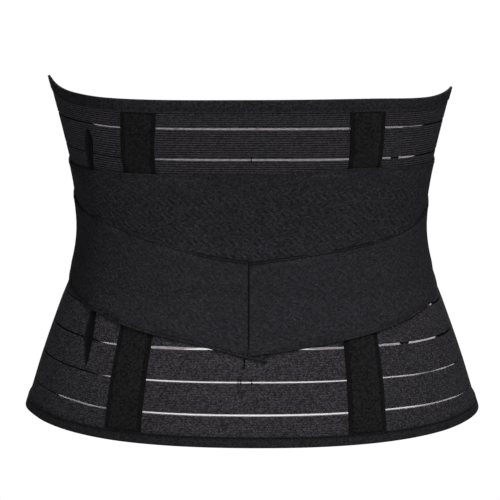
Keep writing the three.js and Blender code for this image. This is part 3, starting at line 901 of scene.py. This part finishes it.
# How far a slit that is drawn shut gapes, left and right of the back's middle
DRAWN_SHUT = {2: (0.4, 0.1), 3: (0.6, 1.1), 4: (0.1, 1.0), 9: (0.1, 0.7), 10: (0.55, 0.8)}
HIDDEN_SHUT = (0.1, 0.1)


def slit_opening(k, around):
    """How far a slit stands open in millimetres, nothing where it is drawn shut."""
    return between(SLIT_OPENINGS.get(k, HIDDEN_SLIT), around)


def slit_clear(k, around):
    """1 where a slit shows clear, 0 where it is drawn shut to a dark line of painted shade."""
    return ease(slit_opening(k, around) / CLEAR_OPENING)


def slit_half(k, around):
    """Half of a slit's height, in millimetres."""
    if k in (0, STRIPS):
        return np.zeros_like(around)
    shut = np.where(around < 0, *DRAWN_SHUT.get(k, HIDDEN_SHUT))
    return (slit_opening(k, around) + shut * (1 - slit_clear(k, around))) / 2


def finished(piece, nodes=()):
    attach(piece, BODY)
    if nodes:
        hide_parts(*nodes)
    return piece


def inner_side(from_top):
    """The offset of the band's body side, which thins under the binding of the upper edge."""
    return THINNED_TOP_EDGE * ease(1 - from_top / TOP_BINDING_WIDTH)


BAND_COLUMNS = 172
ROUNDED_EDGE = 1.1
ROUNDED_OFF = 0.5


def strip_place(k):
    """A strip of the band, with its rows counted in ribs and its edges rounded off beside the slits."""
    def place(around, row):
        low = band_height(around, slit_share(k)) + slit_half(k, around)
        high = band_height(around, slit_share(k + 1)) - slit_half(k + 1, around)
        pitch = (high - low) / RIBS_PER_STRIP
        height = low + row * pitch
        edge = np.minimum(row, RIBS_PER_STRIP - row) * pitch
        from_top = band_height(around, 1) - height
        rounding = ROUNDED_OFF * ease(1 - edge / ROUNDED_EDGE) * (from_top > TOP_BINDING_WIDTH)
        return around, height, inner_side(from_top), BASE_THICKNESS - rounding, edge
    return place


def make_band():
    """The elastic base: ribbed strips one above the other, open between them."""
    cloth = Cloth()
    columns = np.linspace(-BAND_END, BAND_END, BAND_COLUMNS)
    rows = np.linspace(0, RIBS_PER_STRIP, RIBS_PER_STRIP * ROWS_PER_RIB + 1)
    for k in range(STRIPS):
        cloth.sheet(columns, rows, strip_place(k), coarse=(1, len(rows) - 1))
    piece = cloth.piece("elastic_band_cloth", RIBBED)
    rib_relief.run(piece, material=RIBBED, plain_edge=RIB_PLAIN_EDGE, depth=RIB_DEPTH * MM)
    longest = max(girth_at(height) for height in (0, WAIST_HEIGHT, BACK_HEIGHT))
    return finished(piece, ["elastic_band"])


def strap_place(edges, seat, width, first, last):
    """A strap between two places round the body. edges gives the heights of its edges, and seat how far out
    its body side lies."""
    def place(around, row):
        low, high = edges(around)
        height = low + (high - low) * row / width
        ends = np.minimum(around - first, last - around) * WAIST_GIRTH
        edge = np.min([row, width - row, ends], axis=0)
        inner = seat(around, height, edge)
        return around, height, inner, inner + STRAP_THICKNESS * between(STRAP_SELVEDGE, edge), edge
    return place


def upper_strap_edges(around):
    top = UPPER_STRAP_TOP + through(UPPER_STRAP_RISE, around)
    return top - UPPER_STRAP_WIDTH, top


def lower_strap_edges(side):
    table = RIGHT_STRAP if side > 0 else LEFT_STRAP
    return lambda around: [through(table, side * around, column) for column in (1, 2)]


def make_strap(node, material, place, width, first, last):
    cloth = Cloth()
    length = (last - first) * WAIST_GIRTH
    columns = first + edge_steps(length, STRAP_STEP, STRAP_MARGIN) / WAIST_GIRTH
    cloth.sheet(columns, edge_steps(width, STRAP_STEP, STRAP_MARGIN), place)
    piece = cloth.piece(f"{node}_cloth", material)
    herringbone_relief.run(piece, material=material, wale_pair=WALE_PAIR, pitch=CHEVRON_PITCH,
                           plain_edge=STRAP_PLAIN_EDGE, depth=CHEVRON_DEPTH * MM)
    return finished(piece, [node])


TAPE_COLUMNS = 31
TAPE_STEP = 2.2
TAPE_MARGIN = [0, 0.5, 1.2, 2.0]
TAPE_END = 0.6
TAPE_END_SLOPE = 2.2


def make_upright_tape(node, line, half_share, fold, material, thickness, shares, margins, taper=None):
    """A tape sewn upright on the band: folded edges, a sewn groove and a rounded middle. A taper narrows it
    by its share of the length."""
    cloth = Cloth()
    (from_share, to_share), (low_margin, top_margin) = shares, margins
    length = BACK_HEIGHT * (to_share - from_share) - low_margin - top_margin

    def place(aside, row):
        low = band_height(line[0, 1] + aside, from_share) + low_margin
        high = band_height(line[-1, 1] + aside, to_share) - top_margin
        height = low + (high - low) * row / length
        side = (half_share - np.abs(aside)) * WAIST_GIRTH
        edge = np.minimum(side, TAPE_END + np.minimum(row, length - row) * TAPE_END_SLOPE)
        if taper is not None:
            aside = aside * between(taper, row / length)
        return through(line, height) + aside, height, ON_BAND, ON_BAND + thickness * between(fold, edge), edge

    columns = np.linspace(-half_share, half_share, TAPE_COLUMNS)
    cloth.sheet(columns, edge_steps(length, TAPE_STEP, TAPE_MARGIN), place, coarse=(5, 5))
    piece = cloth.piece(f"{node}_tape", material)
    width = 2 * half_share * girth_at(BACK_HEIGHT / 2) * MM
    return finished(piece, [node])


LEG_ROWS = np.array([0.15, 0.6, 1.2, 1.8, 2.4, 3.2, 4.2, 5.4])
FOLD_ROWS = 13
BINDING_STEP = 1.5
PUCKER_PITCH = 5.5
PUCKER_DEPTH = 0.22
GROOVE_DEPTH = 0.18
GROOVE_WIDTH = 1.1


def make_binding(node, material, is_top):
    """A folded tape over an edge: two legs and a fold, puckered a little along its stitches."""
    thickness = TOP_BINDING_THICKNESS if is_top else BOTTOM_BINDING_THICKNESS
    width = TOP_BINDING_WIDTH if is_top else BOTTOM_BINDING_WIDTH
    leg = LEG_ROWS - width
    outside = np.full(len(leg), ON_BAND)
    inside = (inner_side(-leg) if is_top else np.zeros(len(leg))) - GAP
    edge_inside = THINNED_TOP_EDGE if is_top else 0.0
    middle = (BASE_THICKNESS + edge_inside) / 2
    reach = (BASE_THICKNESS - edge_inside) / 2 + GAP + thickness
    turn = np.linspace(0, math.pi, FOLD_ROWS)
    bluntness = 1.0 if is_top else 0.6
    sideways = np.sign(np.cos(turn)) * np.abs(np.cos(turn)) ** bluntness
    past_edge = np.abs(np.sin(turn)) ** bluntness
    fold = np.stack((middle + reach * sideways, GAP + thickness * past_edge), -1)
    outer_leg = np.stack((outside + thickness, leg), -1)
    inner_leg = np.stack((inside - thickness, leg), -1)[::-1]
    inner_lips = [(inside[0] - thickness / 2, -width), *np.stack((inside, leg), -1), (edge_inside - GAP, GAP)]
    outer_lips = [(ON_BAND, GAP), *np.stack((outside, leg), -1)[::-1], (ON_BAND + thickness / 2, -width)]
    section = np.concatenate((outer_leg, fold, inner_leg, inner_lips, outer_lips))
    edge_girth = girth_at(BACK_HEIGHT if is_top else 0)
    columns = np.linspace(-BAND_END, BAND_END, int(edge_girth / BINDING_STEP))
    around = np.broadcast_to(columns[:, None], (len(columns), len(section)))
    offset, past = (np.broadcast_to(v[None, :], around.shape) for v in section.T)
    groove = np.exp(-((past + width - BINDING_SEWN_IN) / GROOVE_WIDTH) ** 2)
    pucker = 0.5 + 0.5 * np.cos(around * edge_girth * math.tau / PUCKER_PITCH)
    on_outer_leg = np.arange(len(section)) < len(leg)
    offset = offset - groove * on_outer_leg * (GROOVE_DEPTH + PUCKER_DEPTH * pucker)
    height = band_height(around, 1 if is_top else 0) + (past if is_top else -past)
    points = on_body(around, height, offset)
    weave = np.stack(alike(around * edge_girth, run_length(section)[None, :], 0), -1)
    ids = np.arange(around.size).reshape(around.shape)
    following = np.roll(ids, -1, axis=1)
    quads = np.stack((ids[:-1], ids[1:], following[1:], following[:-1]), -1).reshape(-1, 4)
    caps = [ids[0], ids[-1][::-1]]
    faces = [list(map(int, face)) for face in [*quads, *caps]]
    if not is_top:
        faces = [face[::-1] for face in faces]
    cloth = Cloth()
    cloth.add(points, faces, weave)
    piece = cloth.piece(f"{node}_tape", material)
    return finished(piece, [node])


CLOSURE_MARGIN = TOP_BINDING_WIDTH + 2.7
CLOSURE_STEP = 2.0


def closure_height(around, row, length):
    low = band_height(around, 0) + CLOSURE_MARGIN
    high = band_height(around, 1) - CLOSURE_MARGIN
    return low + (high - low) * row / length


def closure_length():
    middle = np.array([0.5])
    return float((band_height(middle, 1) - band_height(middle, 0))[0]) - 2 * CLOSURE_MARGIN


def make_closure():
    """The plain front panel over the ends of the band."""
    cloth = Cloth()
    width = (1 - 2 * CLOSURE_EDGE) * WAIST_GIRTH
    length = closure_length()
    margin = PANEL_FOLD[:, 0]
    columns = CLOSURE_EDGE + edge_steps(width, CLOSURE_STEP, margin) / WAIST_GIRTH

    def place(around, row):
        side = np.minimum(around - CLOSURE_EDGE, 1 - CLOSURE_EDGE - around) * WAIST_GIRTH
        edge = np.min([side, row, length - row], axis=0)
        outer = ON_BAND + CLOSURE_THICKNESS * between(PANEL_FOLD, edge)
        return around, closure_height(around, row, length), ON_BAND, outer, edge

    cloth.sheet(columns, edge_steps(length, CLOSURE_STEP, margin), place)
    piece = cloth.piece("front_closure_panel", PILE)
    return finished(piece, ["front_closure"])


# Sewing lines and strands

class Lines:
    """Collects lines on the cloth and makes them one mesh of edges."""

    def __init__(self):
        self.points, self.out, self.up, self.edges = [], [], [], []
        self.values = {"reach": [], "thickness": [], "pale": []}
        self.count = 0

    def add(self, around, height, offset, **values):
        around, height, offset = alike(around, height, offset)
        self.points.append(on_body(around, height, offset))
        self.out.append(outward(around, height))
        self.up.append(on_body(around, height + 1, offset) - on_body(around, height - 1, offset))
        for name, kept in self.values.items():
            kept.append(np.broadcast_to(values.get(name, 0.0), around.shape))
        ids = np.arange(len(around)) + self.count
        self.edges += np.stack((ids[:-1], ids[1:]), -1).tolist()
        self.count += len(around)

    def piece(self, name):
        mesh = bpy.data.meshes.new(name)
        mesh.from_pydata(np.concatenate(self.points).tolist(), self.edges, [])
        store(mesh, "out", np.concatenate(self.out))
        store(mesh, "up", np.concatenate(self.up))
        for key, kept in self.values.items():
            store(mesh, key, np.concatenate(kept), "FLOAT", "value")
        return placed(name, mesh)


STITCH = {"pitch": 3.1 * MM, "length": 2.7 * MM, "thickness": 0.5 * MM}
KNOTTED = {"pitch": 1.6 * MM, "length": 2.3 * MM, "thickness": 1.3 * MM}
STITCH_LIFT = 0.08
BAND_END_INSET = 0.002
CASING_END_INSET = 2.0
BINDING_GROOVE = 0.2
CASING_GROOVE = 0.45
CLOSURE_GROOVE = 0.85


def make_stitches(name, thread, lines, size=STITCH):
    """Stitches along lines, each given as places round the body, heights and offsets."""
    sewing = Lines()
    for line in lines:
        sewing.add(*line)
    return finished(stitch_row.run(sewing.piece(name), material=thread, **size))


def strap_line(place, around, row):
    """A sewing line on a strap, in its sewn groove."""
    around, height, _, outer, _ = place(*alike(around, row))
    return around, height, outer + STITCH_LIFT


def make_strap_stitches(node, upper_thread, lower_thread, place, width, first, last):
    """Stitches along a strap's edges and free ends, with a thread of its own along the lower edge."""
    inset = STRAP_SEWN_IN / WAIST_GIRTH
    around = np.linspace(first + inset, last - inset, 160)
    rows = np.linspace(STRAP_SEWN_IN, width - STRAP_SEWN_IN, 40)
    upper = [strap_line(place, around, rows[-1])]
    for end in (first, last):
        if end != RIGHT_STRAP_SEAM:
            upper.append(strap_line(place, end - math.copysign(inset, end), rows))
    make_stitches(f"{node}_stitches", upper_thread, upper)
    lower = [strap_line(place, around, rows[0])]
    make_stitches(f"{node}_lower_stitches", lower_thread, lower)


def binding_lines():
    around = np.linspace(-BAND_END + BAND_END_INSET, BAND_END - BAND_END_INSET, 300)
    groove = ON_BAND - BINDING_GROOVE
    top = band_height(around, 1) - TOP_BINDING_WIDTH + BINDING_SEWN_IN
    bottom = band_height(around, 0) + BOTTOM_BINDING_WIDTH - BINDING_SEWN_IN
    yield around, top, groove + TOP_BINDING_THICKNESS
    yield around, bottom, groove + BOTTOM_BINDING_THICKNESS


def casing_lines():
    low = BOTTOM_BINDING_WIDTH + CASING_END_INSET
    high = BACK_HEIGHT - TOP_BINDING_WIDTH - CASING_END_INSET
    height = np.linspace(low, high, 90)
    inset = CASING_HALF_SHARE - CASING_SEWN_IN / WAIST_GIRTH
    for line in CASINGS.values():
        for aside in (-inset, inset):
            yield through(line, height) + aside, height, ON_BAND + CASING_GROOVE * CASING_THICKNESS


def closure_lines():
    length = closure_length()
    inset = CLOSURE_EDGE + CLOSURE_SEWN_IN / WAIST_GIRTH
    rows = np.linspace(CLOSURE_SEWN_IN, length - CLOSURE_SEWN_IN, 60)
    places = np.linspace(inset, 1 - inset, 40)
    sides = [(places[0], rows), (places[-1], rows), (places, rows[0]), (places, rows[-1])]
    for around, row in (alike(*side) for side in sides):
        yield around, closure_height(around, row, length), ON_BAND + CLOSURE_GROOVE * CLOSURE_THICKNESS


# Loose threads: the end of the seam, then the slits that the right stay and short ends cross
TAIL_AROUND = -0.0053
TAIL_HEIGHTS = (53.8, 66.0)
TAIL_SWAY = 0.0004
STAY_KNOTS = {3: (0.1335, 0.1405), 9: (0.131, 0.1365)}
KNOT_RISE = 0.4
THREAD_ENDS = [(2, -0.0098), (2, -0.0077), (2, 0.0012), (9, 0.0006)]
THREAD_END_RISE = np.array([-0.9, 0.2, 1.3])
THREAD_LIFT = 0.2


def loose_lines():
    """The end of the seam's thread, which runs a little way down the band below the straps, dark threads
    where the right stay crosses open slits, and short ends of thread at the middle of the back."""
    height = np.linspace(*TAIL_HEIGHTS, 8)
    yield TAIL_AROUND + TAIL_SWAY * np.sin(height / 4), height, BASE_THICKNESS + THREAD_LIFT
    for k, around in THREAD_ENDS:
        yield around, band_height(around, slit_share(k)) + THREAD_END_RISE, BASE_THICKNESS - THREAD_LIFT
    for k, ends in STAY_KNOTS.items():
        around = np.linspace(*ends, 6)
        yield around, band_height(around, slit_share(k)) + KNOT_RISE, ON_BAND + HIDDEN_STAY_THICKNESS


# Strands where a slit is drawn shut and where it is clear: thickness, offset
DARK_STRAND = np.array((1.0, 0.7))
CLEAR_STRAND = np.array((0.36, 1.65))
STRAND_PITCH = 0.8
STRAND_HOLD = 0.4
STRAND_END_INSET = 0.001
HIP_STRAND_TONE = 0.75
HIP_SLITS = (1, 2)


def make_strands():
    """Strands that hold the strips together across the slits: clear ones, and dense dark ones of painted
    shade where a slit is drawn shut."""
    lines = Lines()
    around = np.linspace(-BAND_END + STRAND_END_INSET, BAND_END - STRAND_END_INSET, 400)
    for k in range(1, STRIPS):
        clear = slit_clear(k, around)
        thickness, offset = (dark + (pale - dark) * clear for dark, pale in zip(DARK_STRAND, CLEAR_STRAND))
        reach = 2 * (slit_half(k, around) + STRAND_HOLD)
        tone = HIP_STRAND_TONE if k in HIP_SLITS else 1
        lines.add(around, band_height(around, slit_share(k)), offset, reach=reach * MM,
                  thickness=thickness * MM, pale=clear * tone)
    strands = strand_row.run(lines.piece("slit_strands"), material=STRAND, pitch=STRAND_PITCH * MM)
    return finished(strands)


make_band()
for node, material, edges, seat, threads, extent in (
    ("lower_strap_left", HERRINGBONE, lower_strap_edges(-1), lower_strap_seat(-1), (THREAD, THREAD),
     (STRAP_WIDTH, -LOWER_STRAP_END, LEFT_STRAP_TAIL)),
    ("lower_strap_right", HERRINGBONE, lower_strap_edges(1), lower_strap_seat(1), (THREAD, STITCHING),
     (STRAP_WIDTH, RIGHT_STRAP_SEAM, LOWER_STRAP_END)),
    ("upper_strap", LEVEL_HERRINGBONE, upper_strap_edges, strap_seat, (STITCHING, STITCHING),
     (UPPER_STRAP_WIDTH, -UPPER_STRAP_END, UPPER_STRAP_END)),
):
    place = strap_place(edges, seat, *extent)
    make_strap(node, material, place, *extent)
    make_strap_stitches(node, *threads, place, *extent)
for node, line in CASINGS.items():
    make_upright_tape(node, line, CASING_HALF_SHARE, CASING_FOLD, VELVET, CASING_THICKNESS,
                      (0, 1), CASING_MARGINS)
for node, material, thickness, taper in (
    ("side_stay_left", SHADED_STAY_VELVET, CASING_THICKNESS, STAY_TAPER),
    ("side_stay_right", STAY_TAPE, HIDDEN_STAY_THICKNESS, None),
):
    make_upright_tape(node, STAYS[node], STAY_HALF_SHARE, STAY_FOLD, material, thickness,
                      (STAY_FROM, STAY_TO), (0, 0), taper)
make_binding("top_binding", TAPE, True)
make_binding("bottom_binding", LOWER_TAPE, False)
make_closure()
make_stitches("binding_stitches", STITCHING, binding_lines())
make_stitches("casing_stitches", THREAD, casing_lines())
make_stitches("closure_stitches", STITCHING, closure_lines())
make_stitches("loose_threads", THREAD, loose_lines(), KNOTTED)
make_strands()


# Stage

CAMERA = {"distance": 2.07, "azimuth": 0.6, "elevation": 10.85, "aim": (-0.0013, 0.0, -0.021)}
PIXELS_PER_METRE = 1327.0
IMAGE_SIDE = 500
SENSOR = 36.0
SKY_LIGHT = 0.1
SKY_SEEN = 0.92
FLOOR_RADIUS = 1.2
FLOOR_HEIGHT = -0.75
FLOOR_CORNERS = 96

# Round lights that face the wrap: place, size, power
SOFTBOXES = {
    "key": ((0.75, -1.3, 2.6), 2.0, 102),
    "front": ((0, -3, 0), 1.2, 34),
    "overhead": ((0, -0.05, 3), 1.6, 24),
    "belly_side": ((0, 2.8, 0.9), 1.6, 45),
}


def aim(thing, target):
    """Turns a camera or light, which looks along its -Z, towards a point."""
    back = np.array(thing.location) - np.array(target)
    level = math.hypot(back[0], back[1])
    thing.rotation_euler = (math.atan2(level, back[2]), 0, math.atan2(back[0], -back[1]))


def add_camera():
    lens = bpy.data.cameras.new("camera")
    lens.sensor_width = SENSOR
    lens.lens = SENSOR * PIXELS_PER_METRE * CAMERA["distance"] / IMAGE_SIDE
    camera = placed("camera", lens)
    turn, rise = math.radians(CAMERA["azimuth"]), math.radians(CAMERA["elevation"])
    away = np.array((math.sin(turn) * math.cos(rise), -math.cos(turn) * math.cos(rise), math.sin(rise)))
    camera.location = np.array(CAMERA["aim"]) + away * CAMERA["distance"]
    aim(camera, CAMERA["aim"])
    bpy.context.scene.camera = camera


def add_softbox(name, place, size, power):
    light = bpy.data.lights.new(name, "AREA")
    light.shape = "DISK"
    light.size = size
    light.energy = power
    box = placed(name, light)
    box.location = place
    aim(box, (0, 0, 0))


def add_surroundings():
    """White surroundings for the camera, and a softer light from them on the wrap."""
    world = bpy.data.worlds.new("studio")
    world.use_nodes = True
    bench = Bench(world.node_tree)
    world.node_tree.nodes.clear()
    seen = bench.node("ShaderNodeLightPath")["Is Camera Ray"]
    strength = Term(bench, seen) * SKY_SEEN + SKY_LIGHT
    sky = bench.node("ShaderNodeBackground", inputs={"Color": (1, 1, 1, 1), "Strength": strength})[0]
    bench.node("ShaderNodeOutputWorld", inputs={"Surface": sky})
    bpy.context.scene.world = world
    bpy.context.scene.view_settings.view_transform = "Standard"


def add_floor():
    mesh = bpy.data.meshes.new("floor")
    turns = np.arange(FLOOR_CORNERS) * math.tau / FLOOR_CORNERS
    corners = [(FLOOR_RADIUS * math.cos(t), FLOOR_RADIUS * math.sin(t), FLOOR_HEIGHT) for t in turns]
    mesh.from_pydata(corners, [], [list(range(FLOOR_CORNERS))])
    paint = ClothMaterial("pale_floor")
    mottled = paint.blend(paint.noise(3.0), (0.78, 0.78, 0.77), (0.82, 0.82, 0.81))
    mesh.materials.append(paint.finish(mottled, 0.8))
    placed("floor", mesh)


add_camera()
add_surroundings()
add_floor()
for name, softbox in SOFTBOXES.items():
    add_softbox(name, *softbox)
